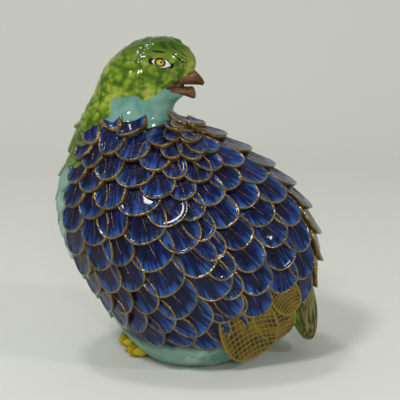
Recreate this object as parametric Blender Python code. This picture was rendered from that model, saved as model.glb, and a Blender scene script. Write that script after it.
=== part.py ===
"""Glazed ceramic quail figurine: a round, sitting quail that looks back over its own shoulder.

Metres, +Z up. The breast faces -X and the tail +X, and the figurine stands on the plane z = 0
and is the same on both sides of the XZ plane. It is one hollow slip casting, so it is one body:
an egg-shaped trunk, a loft for the neck and head, and a coat of overlapping relief feathers that
are laid in files from the neck to the tail, each wrapped on the trunk and joined to it.
"""

import math

import bmesh
import bpy
import numpy as np
from mathutils import Vector

NAME = "quail_figurine"

# Trunk: overall sizes, then how far its side outline leans up to the neck, flattens along the back
# and tucks in under the rump.
BODY_LENGTH = 0.139
BODY_HEIGHT = 0.142
BODY_WIDTH = 0.112
BODY_CENTRE_Z = 0.063
BODY_LEAN = 0.136
BODY_FLATNESS = 0.050
BODY_FLATNESS_TURN = math.radians(20)
RUMP_TUCK = 0.120
RUMP_TUCK_TURN = math.radians(-55)
RUMP_TUCK_SPREAD = math.radians(28)
BODY_SEGMENTS = 36
BODY_RINGS = 18

# Neck and head
NECK_FOOT_X = -0.032
NECK_FOOT_Z = 0.1155
NECK_SEGMENTS = 20
CROWN_RISE = 0.0612

# Beak: each half is a loft along +X from inside the face to its point
BEAK_SEGMENTS = 10

# Eye
EYE_LENGTH = 0.0124
EYE_HEIGHT = 0.0076
EYE_PROUD = 0.0008
EYE_X = -0.0160
EYE_Z = 0.1648
EYE_TILT = math.radians(9)

# Coat feathers
FEATHER_RIM = 0.0017
FEATHER_DISH = 0.0007
FEATHER_RIB = 0.0004
FEATHER_THICKNESS = 0.0055
FEATHER_TIP_RISE = 0.0030
FEATHER_ROOT_RISE = -0.0018
FEATHER_LAP = 1.60
FIRST_FEATHER_WIDTH = 0.66
FEATHER_WIDTH_GAIN = 0.12
BREAST_TIP_RISE = 0.0013

# Wing tips, tail and toes
WING_ROOT_RISE = -0.0020
WING_TIP_THICKNESS = 0.0130
TAIL_SEGMENTS = 32
TAIL_RIDGE = 0.0011
TOE_LENGTH = 0.0150
TOE_WIDTH = 0.0090
TOE_HEIGHT = 0.0090

# Shell
WALL = 0.0045
COAT_DEPTH = 0.0015
HOLLOW_SEGMENTS = 18
HOLLOW_RINGS = 10
FOOT_THICKNESS = 0.0050
GLAZE_SOFTENING = 0.42
VENT_DIAMETER = 0.011
VENT_X = -0.012


def clear_scene():
    for item in list(bpy.data.objects):
        bpy.data.objects.remove(item, do_unlink=True)


def add_collection(name):
    group = bpy.data.collections.new(name)
    bpy.context.scene.collection.children.link(group)
    return group


def add_mesh(name, bm, group, helper=False):
    bmesh.ops.recalc_face_normals(bm, faces=bm.faces)
    mesh = bpy.data.meshes.new(name)
    bm.to_mesh(mesh)
    bm.free()
    item = bpy.data.objects.new(name, mesh)
    group.objects.link(item)
    if helper:
        item.hide_render = True
        item.display_type = "WIRE"
    return item


# The trunk is an egg whose side outline is a circle with a second harmonic, which leans it up
# towards the neck, a third, which flattens its back, and a tuck. Across, it is a plain ellipse.

CENTRE = np.array([0.0, 0.0, BODY_CENTRE_Z])
HALF = 0.5 * np.array([BODY_LENGTH, BODY_WIDTH, BODY_HEIGHT])


def side_outline(angle):
    lean = BODY_LEAN * np.sin(2 * angle)
    flatness = BODY_FLATNESS * np.cos(3 * (angle - BODY_FLATNESS_TURN))
    tuck = RUMP_TUCK * np.exp(-(((angle - RUMP_TUCK_TURN) / RUMP_TUCK_SPREAD) ** 2))
    return 1 - lean + flatness - tuck


def on_trunk(points, rise=0.0):
    """The points moved along rays from the trunk's centre until they lie `rise` above its skin."""
    ray = np.atleast_2d(points) - CENTRE
    share = ray / HALF
    angle = np.arctan2(share[:, 2], share[:, 0])
    reach = np.hypot(share[:, 0], share[:, 2]) / side_outline(angle)
    skin = ray / np.hypot(reach, share[:, 1])[:, None]
    length = np.linalg.norm(skin, axis=1)[:, None]
    return CENTRE + skin * (1 + np.reshape(rise, (-1, 1)) / length)


def skin_normal(point):
    step = 0.001
    along = on_trunk(point + np.array([[step, 0, 0], [0, step, 0], [0, 0, step]]))
    away = on_trunk(point - np.array([[step, 0, 0], [0, step, 0], [0, 0, step]]))
    spread = along - away
    normal = np.linalg.svd(spread)[2][2]
    return normal * np.sign(normal @ (point - CENTRE))


def trunk_blank():
    bm = bmesh.new()
    bmesh.ops.create_uvsphere(bm, u_segments=BODY_SEGMENTS, v_segments=BODY_RINGS, radius=1.0)
    for vert in bm.verts:
        share = np.array((vert.co.x, vert.co.z, vert.co.y))
        vert.co = on_trunk(CENTRE + share * HALF)[0]
    return bm


def trunk_hollow_blank():
    """The hollow that the poured-out slip leaves: the trunk less its wall, flat over the foot."""
    bm = bmesh.new()
    bmesh.ops.create_uvsphere(bm, u_segments=HOLLOW_SEGMENTS, v_segments=HOLLOW_RINGS, radius=1.0)
    for vert in bm.verts:
        share = np.array((vert.co.x, vert.co.z, vert.co.y))
        vert.co = on_trunk(CENTRE + share * HALF, -(WALL + COAT_DEPTH))[0]
        vert.co.z = max(vert.co.z, FOOT_THICKNESS)
    return bm


def loft(bm, rings, first_rise, last_rise):
    """Bridges rings of points, each a list of the same length, and closes both ends with a pole."""
    loops = []
    for ring in rings:
        loop = bmesh.ops.create_circle(bm, segments=len(ring), radius=1.0)["verts"]
        for vert, place in zip(loop, ring):
            vert.co = place
        loops.append(loop)
    for low, high in zip(loops, loops[1:]):
        pair = set(low) | set(high)
        edges = {edge for vert in pair for edge in vert.link_edges if set(edge.verts) <= pair}
        edges = [edge for edge in edges if set(edge.verts) <= set(low) or set(edge.verts) <= set(high)]
        bmesh.ops.bridge_loops(bm, edges=edges)
    for loop, rise in ((loops[0], first_rise), (loops[-1], last_rise)):
        cap = bmesh.ops.contextual_create(bm, geom=loop)["faces"]
        pole = bmesh.ops.poke(bm, faces=cap)["verts"][0]
        pole.co += Vector(rise)


def turns(count):
    return [math.tau * k / count for k in range(count)]


# Neck and head: level rings, each as (height above the neck's foot, nape x, throat x, width, taper),
# with x from the neck's foot. The taper narrows a ring towards the face.

NECK_RINGS = [
    (-0.030, -0.020, 0.020, 0.050, 0.00),
    (-0.012, -0.0325, 0.034, 0.060, 0.00),
    (0.000, -0.0335, 0.038, 0.058, 0.00),
    (0.0080, -0.0320, 0.0345, 0.050, 0.00),
    (0.0142, -0.0288, 0.0265, 0.043, 0.04),
    (0.0198, -0.0258, 0.0232, 0.038, 0.08),
    (0.0254, -0.0227, 0.0245, 0.035, 0.12),
    (0.0300, -0.0200, 0.0290, 0.034, 0.20),
    (0.0350, -0.0180, 0.0290, 0.034, 0.28),
    (0.0400, -0.0160, 0.0325, 0.034, 0.30),
    (0.0450, -0.0132, 0.0350, 0.033, 0.28),
    (0.0495, -0.0095, 0.0350, 0.031, 0.24),
    (0.0540, -0.0045, 0.0320, 0.027, 0.18),
    (0.0575, 0.0010, 0.0285, 0.021, 0.12),
    (0.0600, 0.0070, 0.0245, 0.013, 0.06),
]


def neck_ring(station, shrink):
    rise, nape, throat, width, taper = station
    half_length = 0.5 * (throat - nape) - shrink
    half_width = 0.5 * width - shrink
    ring = []
    for turn in turns(NECK_SEGMENTS):
        forward, aside = math.cos(turn), math.sin(turn)
        x = NECK_FOOT_X + 0.5 * (nape + throat) + half_length * forward
        ring.append((x, half_width * aside * (1 - taper * forward), NECK_FOOT_Z + rise))
    return ring


def neck_blank():
    bm = bmesh.new()
    rings = [neck_ring(station, 0.0) for station in NECK_RINGS]
    loft(bm, rings, (0, 0, 0), (0, 0, CROWN_RISE - NECK_RINGS[-1][0]))
    return bm


# Beak halves: upright rings, each as (x, low z, high z, width).

UPPER_BEAK = [
    (-0.0140, 0.1506, 0.1530, 0.0215),
    (-0.0060, 0.1508, 0.1572, 0.0165),
    (-0.0010, 0.1508, 0.1598, 0.0125),
    (0.0022, 0.1507, 0.1590, 0.0098),
    (0.0050, 0.1506, 0.1565, 0.0066),
    (0.0071, 0.1504, 0.1538, 0.0034),
]
LOWER_BEAK = [
    (-0.0120, 0.1465, 0.1499, 0.0205),
    (-0.0050, 0.1454, 0.1499, 0.0145),
    (-0.0005, 0.1440, 0.1498, 0.0100),
    (0.0015, 0.1432, 0.1490, 0.0070),
    (0.0028, 0.1432, 0.1458, 0.0030),
]


def beak_blank(stations, point):
    bm = bmesh.new()
    rings = []
    for x, low, high, width in stations:
        middle, half = 0.5 * (low + high), 0.5 * (high - low)
        rings.append([(x, 0.5 * width * math.sin(t), middle + half * math.cos(t)) for t in turns(BEAK_SEGMENTS)])
    loft(bm, rings, (0, 0, 0), (point, 0, 0))
    return bm


def head_half_width(x, z):
    """Half the head's width at a point of its side view, read from the neck's rings."""
    rises = [ring[0] for ring in NECK_RINGS]
    nape, throat, width, taper = (np.interp(z - NECK_FOOT_Z, rises, [ring[k] for ring in NECK_RINGS]) for k in (1, 2, 3, 4))
    forward = (x - NECK_FOOT_X - 0.5 * (nape + throat)) / (0.5 * (throat - nape))
    return 0.5 * width * math.sqrt(1 - forward**2) * (1 - taper * forward)


def eye_blank():
    bm = bmesh.new()
    bmesh.ops.create_uvsphere(bm, u_segments=12, v_segments=6, radius=1.0)
    side = -head_half_width(EYE_X, EYE_Z)
    for vert in bm.verts:
        long, tall = 0.5 * EYE_LENGTH * vert.co.x, 0.5 * EYE_HEIGHT * vert.co.y
        x = long * math.cos(EYE_TILT) + tall * math.sin(EYE_TILT)
        z = tall * math.cos(EYE_TILT) - long * math.sin(EYE_TILT)
        skin = -head_half_width(EYE_X + x, EYE_Z + z) - side
        vert.co = Vector((EYE_X + x, side + skin + (EYE_PROUD + 0.001) * vert.co.z + 0.001, EYE_Z + z))
    return bm


# Tail: level rings down from the rump, each as (x, z, thickness, width), ridged by the tail feathers.

TAIL_RINGS = [
    (0.0470, 0.0560, 0.0260, 0.042),
    (0.0550, 0.0420, 0.0240, 0.042),
    (0.0595, 0.0320, 0.0210, 0.039),
    (0.0622, 0.0240, 0.0180, 0.035),
    (0.0645, 0.0160, 0.0132, 0.029),
    (0.0658, 0.0110, 0.0080, 0.020),
]


def tail_blank():
    bm = bmesh.new()
    rings = []
    for x, z, thickness, width in TAIL_RINGS:
        ring = []
        for k, turn in enumerate(turns(TAIL_SEGMENTS)):
            ridge = TAIL_RIDGE * (k % 2)
            ring.append((x + (0.5 * thickness - ridge) * math.cos(turn), (0.5 * width - ridge) * math.sin(turn), z))
        rings.append(ring)
    loft(bm, rings, (0, 0, 0), (0, 0, -0.002))
    return bm


# Toes: two on each side, as (tip x, y, height of the centre, yaw).

TOES = [(-0.0400, 0.0035, 0.0075, 4), (-0.0350, 0.0105, 0.0040, 14)]


def toe_blank(tip_x, y, z, yaw):
    bm = bmesh.new()
    bmesh.ops.create_uvsphere(bm, u_segments=10, v_segments=6, radius=1.0)
    turn = math.radians(yaw)
    for vert in bm.verts:
        x, across = 0.5 * TOE_LENGTH * (1 + vert.co.x), 0.5 * TOE_WIDTH * vert.co.y
        vert.co = Vector((
            tip_x + x * math.cos(turn) + across * math.sin(turn),
            y + across * math.cos(turn) - x * math.sin(turn),
            z + 0.5 * TOE_HEIGHT * vert.co.z,
        ))
    return bm


# Feathers. A blank lies flat, its tip at the origin and its root along -Y: a rounded outline with a
# raised rim, a dished inside and a rib down its middle.

OUTLINE_TURNS = (0, 30, 60, 90, 130, 180, 230, 270, 300, 330)


def feather_blank(width, length, rim, dish, rib, thickness):
    bm = bmesh.new()
    ring = bmesh.ops.create_circle(bm, segments=len(OUTLINE_TURNS), radius=1.0, cap_ends=True)
    ring = sorted(ring["verts"], key=lambda vert: math.atan2(vert.co.x, vert.co.y) % math.tau)
    for vert, turn in zip(ring, OUTLINE_TURNS):
        across, along = math.sin(math.radians(turn)), math.cos(math.radians(turn))
        reach = 0.60 if along > 0 else 0.40
        vert.co = Vector((0.5 * width * across, length * (reach * along - 0.60), 0.0))
    bmesh.ops.recalc_face_normals(bm, faces=bm.faces)
    if bm.faces[0].normal.z < 0:
        bmesh.ops.reverse_faces(bm, faces=bm.faces)
    inner = bm.faces[0]
    bmesh.ops.inset_individual(bm, faces=[inner], thickness=rim, depth=-dish, use_even_offset=True)
    along = sorted(inner.verts, key=lambda vert: vert.co.y)
    spine = bmesh.ops.connect_verts(bm, verts=[along[0], along[-1]])["edges"]
    for vert in bmesh.ops.subdivide_edges(bm, edges=spine, cuts=1)["geom_inner"]:
        if isinstance(vert, bmesh.types.BMVert):
            vert.co.z += rib
    border = [edge for edge in bm.edges if edge.is_boundary]
    walls = bmesh.ops.extrude_edge_only(bm, edges=border)["geom"]
    foot = [item for item in walls if isinstance(item, bmesh.types.BMVert)]
    for vert in foot:
        vert.co.z -= thickness
    bmesh.ops.holes_fill(bm, edges=[edge for edge in bm.edges if edge.is_boundary])
    bmesh.ops.triangulate(bm, faces=bm.faces)
    return bm


def lay_feather(bm, tip, root, length, tip_rise, root_rise):
    """Wraps a blank on the trunk, its tip and root on the line from `tip` to `root`."""
    middle = on_trunk(0.5 * (tip + root))[0]
    normal = skin_normal(middle)
    down = (tip - root) - normal * ((tip - root) @ normal)
    down = down / np.linalg.norm(down)
    side = np.cross(down, normal)
    flat = np.array([vert.co for vert in bm.verts])
    share = -flat[:, 1] / length
    spot = middle + np.outer(flat[:, 0], side) + np.outer(length * (0.5 - share), down)
    rise = flat[:, 2] + tip_rise + (root_rise - tip_rise) * share
    for vert, place in zip(bm.verts, on_trunk(spot, rise)):
        vert.co = place


# Feather files: (first feather's tip, two points on the way, last feather's tip), each point as
# shares of the trunk's half-length, half-width and half-height, then the number of feathers and
# their width. The files of one flank are mirrored on the other.

FLANK_FILES = {
    "saddle": (((-0.05, -0.42, 0.94), (0.50, -0.40, 0.66), (0.86, -0.50, 0.18), (0.88, -0.52, -0.40)), 10, 0.024),
    "scapular": (((-0.29, -0.62, 0.85), (0.20, -0.64, 0.69), (0.62, -0.70, 0.34), (0.76, -0.72, -0.23)), 9, 0.022),
    "shoulder": (((-0.40, -0.55, 0.88), (0.00, -0.78, 0.62), (0.45, -0.89, 0.22), (0.57, -0.83, -0.38)), 10, 0.023),
    "covert": (((-0.55, -0.50, 0.88), (-0.16, -0.88, 0.56), (0.26, -0.99, 0.12), (0.45, -0.87, -0.39)), 11, 0.019),
    "mantle": (((-0.64, -0.60, 0.76), (-0.25, -0.95, 0.42), (0.20, -1.00, -0.02), (0.37, -0.80, -0.62)), 9, 0.026),
    "flank": (((-0.74, -0.62, 0.65), (-0.48, -0.91, 0.31), (-0.07, -1.00, -0.10), (0.17, -0.80, -0.66)), 9, 0.026),
    "side": (((-0.84, -0.45, 0.70), (-0.74, -0.76, 0.25), (-0.35, -0.94, -0.20), (-0.05, -0.76, -0.70)), 10, 0.022),
    "bib_rear": (((-0.92, -0.50, 0.50), (-0.82, -0.70, 0.10), (-0.52, -0.80, -0.30), (-0.27, -0.68, -0.68)), 8, 0.020),
    "bib": (((-0.95, -0.45, 0.30), (-0.88, -0.58, 0.00), (-0.68, -0.66, -0.30), (-0.42, -0.62, -0.62)), 6, 0.019),
    "bib_front": (((-0.98, -0.32, 0.15), (-0.93, -0.32, -0.12), (-0.84, -0.34, -0.33), (-0.66, -0.38, -0.55)), 4, 0.018),
}
RIDGE_FILE = (((0.10, 0.0, 0.94), (0.60, 0.0, 0.70), (0.97, 0.0, 0.14), (1.00, 0.0, -0.36)), 9, 0.030)
BREAST_FILES = {
    "breast_side": (((-0.80, -0.25, 0.75), (-0.96, -0.25, 0.25), (-0.93, -0.22, -0.20), (-0.68, -0.22, -0.62)), 9, 0.018),
}
BREAST_FILE = (((-0.80, 0.0, 0.80), (-0.98, 0.0, 0.25), (-0.95, 0.0, -0.20), (-0.70, 0.0, -0.60)), 9, 0.020)


def file_curve(points, steps=120):
    """The smooth line on the trunk through a file's four points, carried on past both ends."""
    knots = CENTRE + np.array(points) * HALF
    share = np.linspace(-0.45, 1.15, steps)
    weights = np.ones((steps, 4))
    places = (0.0, 1 / 3, 2 / 3, 1.0)
    for i, a in enumerate(places):
        for j, b in enumerate(places):
            if i != j:
                weights[:, i] *= (share - b) / (a - b)
    line = on_trunk(weights @ knots)
    run = np.concatenate([[0], np.cumsum(np.linalg.norm(np.diff(line, axis=0), axis=1))])
    start, end = np.interp((0.0, 1.0), share, run)
    return lambda s: np.array([np.interp(start + s * (end - start), run, line[:, k]) for k in range(3)]), end - start


def lay_file(label, layout, tip_rise, helpers, sides=(1,)):
    points, count, width = layout
    place, run = file_curve(points)
    pitch = 1 / (count - 1)
    length = FEATHER_LAP * pitch * run
    for k in range(count):
        grown = min(1.0, FIRST_FEATHER_WIDTH + FEATHER_WIDTH_GAIN * k)
        bm = feather_blank(width * grown, length, FEATHER_RIM, FEATHER_DISH, FEATHER_RIB, FEATHER_THICKNESS)
        tip = place(k * pitch)
        root = place((k - FEATHER_LAP) * pitch)
        lay_feather(bm, tip, root, length, tip_rise, FEATHER_ROOT_RISE)
        for side in sides:
            twin = bm.copy()
            if side < 0:
                bmesh.ops.scale(twin, vec=Vector((1, -1, 1)), verts=twin.verts)
            add_mesh(f"{label}_{k + 1}_{'near' if side > 0 else 'far'}", twin, helpers, helper=True)
        bm.free()


# Wing tips: (tip, root, length, width, rise), the two ends as shares of the trunk's half sizes.

WING_TIPS = [
    ((0.84, -0.66, -0.42), (0.72, -0.84, -0.14), 0.027, 0.019, 0.0050),
    ((0.76, -0.52, -0.66), (0.60, -0.93, -0.22), 0.041, 0.025, 0.0068),
    ((0.54, -0.58, -0.80), (0.42, -1.00, -0.30), 0.043, 0.033, 0.0080),
]


def wing_tip_blank(tip, root, length, width, rise):
    bm = feather_blank(width, length, FEATHER_RIM, FEATHER_DISH, FEATHER_RIB, WING_TIP_THICKNESS)
    tip, root = on_trunk(CENTRE + np.array((tip, root)) * HALF)
    lay_feather(bm, tip, root, length, rise, WING_ROOT_RISE)
    return bm


def mirrored(bm):
    twin = bm.copy()
    bmesh.ops.scale(twin, vec=Vector((1, -1, 1)), verts=twin.verts)
    return twin


def add_pair(name, bm, group):
    add_mesh(name + "_far", mirrored(bm), group, helper=True)
    add_mesh(name + "_near", bm, group, helper=True)


def head_hollow_blank():
    """The slip-cast hollow of the neck and head, from inside the trunk's hollow up to the crown."""
    bm = bmesh.new()
    stations = NECK_RINGS[1:12:2]
    rings = [neck_ring(station, WALL)[::2] for station in stations]
    loft(bm, rings, (0, 0, 0), (0, 0, 0.001))
    return bm


def vent_blank():
    bm = bmesh.new()
    depth = 4 * WALL
    bmesh.ops.create_cone(
        bm, segments=16, radius1=0.5 * VENT_DIAMETER, radius2=0.5 * VENT_DIAMETER, depth=depth, cap_ends=True
    )
    bmesh.ops.translate(bm, vec=Vector((VENT_X, 0, 0)), verts=bm.verts)
    return bm


def ground_blank():
    """Everything of the trunk's underside below the plane that the figurine stands on."""
    bm = bmesh.new()
    bmesh.ops.create_cube(bm, size=1.0)
    bmesh.ops.scale(bm, vec=Vector((2 * BODY_LENGTH, 2 * BODY_WIDTH, BODY_CENTRE_Z)), verts=bm.verts)
    bmesh.ops.translate(bm, vec=Vector((0, 0, -0.5 * BODY_CENTRE_Z)), verts=bm.verts)
    return bm


def add_boolean(item, operation, group):
    joint = item.modifiers.new(group.name, "BOOLEAN")
    joint.operation = operation
    joint.operand_type = "COLLECTION"
    joint.collection = group
    joint.solver = "EXACT"


def main():
    clear_scene()
    parts = add_collection(NAME)
    relief = add_collection("relief")
    trunk = add_mesh(NAME, trunk_blank(), parts)
    add_mesh("neck", neck_blank(), relief, helper=True)
    add_mesh("upper_beak", beak_blank(UPPER_BEAK, 0.0009), relief, helper=True)
    add_mesh("lower_beak", beak_blank(LOWER_BEAK, 0.0006), relief, helper=True)
    add_mesh("tail", tail_blank(), relief, helper=True)
    add_pair("eye", eye_blank(), relief)
    for k, toe in enumerate(TOES):
        add_pair(f"toe_{k + 1}", mirrored(toe_blank(*toe)), relief)
    for k, layout in enumerate(WING_TIPS):
        add_pair(f"wing_tip_{k + 1}", wing_tip_blank(*layout), relief)
    for label, layout in FLANK_FILES.items():
        lay_file(label, layout, FEATHER_TIP_RISE, relief, sides=(1, -1))
    for label, layout in BREAST_FILES.items():
        lay_file(label, layout, BREAST_TIP_RISE, relief, sides=(1, -1))
    lay_file("ridge", RIDGE_FILE, FEATHER_TIP_RISE, relief)
    lay_file("breast", BREAST_FILE, BREAST_TIP_RISE, relief)
    hollow = add_collection("hollow")
    add_mesh("trunk_hollow", trunk_hollow_blank(), hollow, helper=True)
    add_mesh("head_hollow", head_hollow_blank(), hollow, helper=True)
    add_mesh("vent", vent_blank(), hollow, helper=True)
    add_mesh("ground", ground_blank(), hollow, helper=True)
    add_boolean(trunk, "UNION", relief)
    melt = trunk.modifiers.new("glaze_softening", "DECIMATE")
    melt.ratio = GLAZE_SOFTENING
    melt.use_collapse_triangulate = True
    add_boolean(trunk, "DIFFERENCE", hollow)


main()
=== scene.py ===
import math

import bmesh
import bpy
import numpy as np
from mathutils import Matrix, Vector, noise


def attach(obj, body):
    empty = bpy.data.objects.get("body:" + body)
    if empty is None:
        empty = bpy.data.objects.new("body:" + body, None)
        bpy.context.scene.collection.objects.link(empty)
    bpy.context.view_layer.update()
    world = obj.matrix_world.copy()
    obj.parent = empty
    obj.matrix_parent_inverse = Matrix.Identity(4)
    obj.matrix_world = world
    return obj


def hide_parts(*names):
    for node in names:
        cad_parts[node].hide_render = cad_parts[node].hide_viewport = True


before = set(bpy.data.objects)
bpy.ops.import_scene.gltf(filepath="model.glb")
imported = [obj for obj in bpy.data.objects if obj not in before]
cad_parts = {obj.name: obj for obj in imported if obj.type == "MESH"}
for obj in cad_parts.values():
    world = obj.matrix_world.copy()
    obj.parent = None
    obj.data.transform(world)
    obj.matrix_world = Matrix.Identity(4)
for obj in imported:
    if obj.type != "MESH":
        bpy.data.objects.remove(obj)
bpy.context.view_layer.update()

# Camera. It looks at the quail's left flank from a little above, from far enough away that the
# figurine is drawn with hardly any perspective.

LOOK_AT = Vector((0.0055, 0.0, 0.087))
CAMERA_DISTANCE = 0.75
CAMERA_ELEVATION = math.radians(12)
LENS = 122.73
SENSOR_WIDTH = 36

camera = bpy.data.objects.new("camera", bpy.data.cameras.new("camera"))
camera.data.lens = LENS
camera.data.sensor_width = SENSOR_WIDTH
camera.data.clip_start = 0.01
toward_camera = Vector((0, -math.cos(CAMERA_ELEVATION), math.sin(CAMERA_ELEVATION)))
camera.location = LOOK_AT + CAMERA_DISTANCE * toward_camera
camera.rotation_euler = (math.radians(90) - CAMERA_ELEVATION, 0, 0)
bpy.context.scene.collection.objects.link(camera)
bpy.context.scene.camera = camera

# Trunk. The body of the casting, an egg that leans up to the neck: glazed earthenware about 6 mm
# thick, poured hollow, with a flat unpolished foot and a vent in it that let the slip and steam out.

BODY_LENGTH = 0.139
BODY_HEIGHT = 0.142
BODY_WIDTH = 0.112
BODY_LEAN = 0.136
BODY_FLATNESS = 0.050
BODY_FLATNESS_TURN = math.radians(20)
RUMP_TUCK = 0.120
RUMP_TUCK_TURN = math.radians(-55)
RUMP_TUCK_SPREAD = math.radians(28)
CENTRE = np.array([0.0, 0.0, 0.063])
HALF = 0.5 * np.array([BODY_LENGTH, BODY_WIDTH, BODY_HEIGHT])
WALL = 0.0060
COAT_BED = 0.0018
FOOT_THICKNESS = 0.0050
VENT_RADIUS = 0.0055
VENT_X = -0.012
BREAST_X = -0.035
BREAST_HALF_WIDTH = 0.022
BREAST_FLARE = 0.5
BREAST_FLARE_Z = 0.035
COAT_HEM_Z = 0.014


def side_outline(angle):
    lean = BODY_LEAN * np.sin(2 * angle)
    flatness = BODY_FLATNESS * np.cos(3 * (angle - BODY_FLATNESS_TURN))
    tuck = RUMP_TUCK * np.exp(-(((angle - RUMP_TUCK_TURN) / RUMP_TUCK_SPREAD) ** 2))
    return 1 - lean + flatness - tuck


def on_trunk(points, rise=0.0):
    """The points moved along rays from the trunk's centre until they lie `rise` above its skin."""
    ray = np.atleast_2d(points) - CENTRE
    share = ray / HALF
    reach = np.hypot(share[:, 0], share[:, 2]) / side_outline(np.arctan2(share[:, 2], share[:, 0]))
    skin = ray / np.hypot(reach, share[:, 1])[:, None]
    length = np.linalg.norm(skin, axis=1)[:, None]
    return CENTRE + skin * (1 + np.reshape(rise, (-1, 1)) / length)


def reshape(verts, rule):
    """Moves points by a rule on their coordinates, which takes and gives one row for each point."""
    verts = list(verts)
    for vert, place in zip(verts, rule(np.array([vert.co for vert in verts]))):
        vert.co = place


def trunk_shell(bm, segments, rings, rise, floor):
    """An egg `rise` above the trunk's skin, cut open at the height `floor`; gives the cut's edges."""
    ball = bmesh.ops.create_uvsphere(bm, u_segments=segments, v_segments=rings, radius=1.0)["verts"]
    reshape(ball, lambda unit: on_trunk(CENTRE + unit[:, [0, 2, 1]] * HALF, rise))
    near = set(ball)
    geom = ball + [edge for edge in bm.edges if edge.verts[0] in near]
    geom += [face for face in bm.faces if face.verts[0] in near]
    cut = bmesh.ops.bisect_plane(bm, geom=geom, plane_co=(0, 0, floor), plane_no=(0, 0, 1), clear_inner=True)
    return [item for item in cut["geom_cut"] if isinstance(item, bmesh.types.BMEdge)]


def ring_edges(bm, x, z, radius, segments):
    place = Matrix.Translation((x, 0, z))
    ring = bmesh.ops.create_circle(bm, segments=segments, radius=radius, matrix=place)["verts"]
    return list({edge for vert in ring for edge in vert.link_edges})


trunk = bmesh.new()
outside = trunk_shell(trunk, 96, 64, 0.0, 0.0)
vent_mouth = ring_edges(trunk, VENT_X, 0.0, VENT_RADIUS, 48)
vent_top = ring_edges(trunk, VENT_X, FOOT_THICKNESS, VENT_RADIUS, 48)
inside = trunk_shell(trunk, 48, 32, -WALL, FOOT_THICKNESS)
for pair in ((outside, vent_mouth), (vent_mouth, vent_top), (vent_top, inside)):
    bmesh.ops.bridge_loops(trunk, edges=pair[0] + pair[1])
bmesh.ops.recalc_face_normals(trunk, faces=trunk.faces)


class Paint:
    """One value that a glaze is mixed from, such as a place or a shade. Arithmetic gives another."""

    def __init__(self, tree, socket=None):
        self.tree = tree
        self.socket = socket

    def fill(self, node, values):
        for name, value in values.items():
            if isinstance(value, Paint):
                self.tree.links.new(value.socket, node.inputs[name])
            else:
                node.inputs[name].default_value = value

    def node(self, kind, settings={}, values={}, output=0):
        """One step of mixing the glaze, with its settings made first: one output of it."""
        made = self.tree.nodes.new("ShaderNode" + kind)
        for name, setting in settings.items():
            if name == "stops":
                while len(made.color_ramp.elements) < len(setting):
                    made.color_ramp.elements.new(0.5)
                for stop, (place, colour) in zip(made.color_ramp.elements, setting):
                    stop.position, stop.color = place, colour
            else:
                setattr(made, name, setting)
        self.fill(made, values)
        return Paint(self.tree, made.outputs[output])

    def maths(self, operation, *values):
        return self.node("Math", {"operation": operation}, dict(enumerate(values)))

    def __add__(self, other):
        return self.maths("ADD", self, other)

    def __sub__(self, other):
        return self.maths("SUBTRACT", self, other)

    def __rsub__(self, other):
        return self.maths("SUBTRACT", other, self)

    def __mul__(self, other):
        return self.maths("MULTIPLY", self, other)

    def __truediv__(self, other):
        return self.maths("DIVIDE", self, other)

    def __pow__(self, other):
        return self.maths("POWER", self, other)

    def __abs__(self):
        return self.maths("ABSOLUTE", self)

    def smaller(self, other):
        return self.maths("MINIMUM", self, other)

    def step(self, low, high):
        """A soft step, 0 below `low` and 1 above `high`."""
        return self.node("MapRange", {"interpolation_type": "SMOOTHSTEP"}, {0: self, 1: low, 2: high})

    def mix(self, under, over):
        """The colour `over` laid on `under` where this is 1."""
        return self.node("Mix", {"data_type": "RGBA"}, {0: self, 6: under, 7: over}, output=2)

    def parts(self):
        split = self.node("SeparateXYZ", {}, {0: self})
        return [Paint(self.tree, socket) for socket in split.socket.node.outputs]

    def joined(self, x, y, z):
        return self.node("CombineXYZ", {}, {0: x, 1: y, 2: z})


def tint(code):
    """A colour written as it looks, in hex, as the linear values that a shader takes."""
    shares = [int(code[k : k + 2], 16) / 255 for k in (0, 2, 4)]
    return (*[s / 12.92 if s <= 0.04045 else ((s + 0.055) / 1.055) ** 2.4 for s in shares], 1.0)


def open_glaze(name):
    """A new material, as a Paint to build on, with the place on the piece and soft blots of glaze."""
    material = bpy.data.materials.new(name)
    material.use_nodes = True
    start = Paint(material.node_tree)
    place = start.node("TexCoord", output=3)
    blots = place.node("TexNoise", {}, {"Vector": place, "Scale": 95.0, "Detail": 3.0, "Roughness": 0.6})
    return material, start, place, blots


def fire(start, colour, roughness, height, depth, metal=0.0):
    """Fires a glaze: colour, roughness and relief under one clear, wet-looking coat."""
    shader = start.tree.nodes["Principled BSDF"]
    bump = start.node("Bump", {}, {"Height": height, "Distance": depth, "Strength": 1.0})
    start.fill(shader, {"Base Color": colour, "Roughness": roughness, "Metallic": metal, "Normal": bump})
    start.fill(shader, {"Coat Weight": 0.45, "Coat Roughness": 0.04, "Coat IOR": 1.45})
    start.fill(shader, {"Specular IOR Level": 0.08})


def celadon_colour(place, blots):
    """Pale blue-green glaze that pools darker, and turns to the head's green under the nape."""
    pools = place.node("TexNoise", {}, {"Vector": place, "Scale": 38.0, "Detail": 2.0})
    pale = pools.step(0.35, 0.65).mix(tint("84a999"), tint("568a80"))
    pale = blots.step(0.45, 0.75).mix(pale, tint("a5c0ae"))
    x, y, z = place.parts()
    nape = (z + blots * 0.012 - x * 0.35).step(0.130, 0.140)
    return nape.mix(pale, blots.step(0.3, 0.7).mix(tint("3c520c"), tint("6d8624")))


celadon, start, place, blots = open_glaze("celadon_glaze")
under_coat = start.node("Attribute", {"attribute_name": "under_coat"}, output=2)
body_colour = under_coat.mix(celadon_colour(place, blots), tint("060c38"))
fire(start, body_colour, 0.32, blots, 0.0006)


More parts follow.
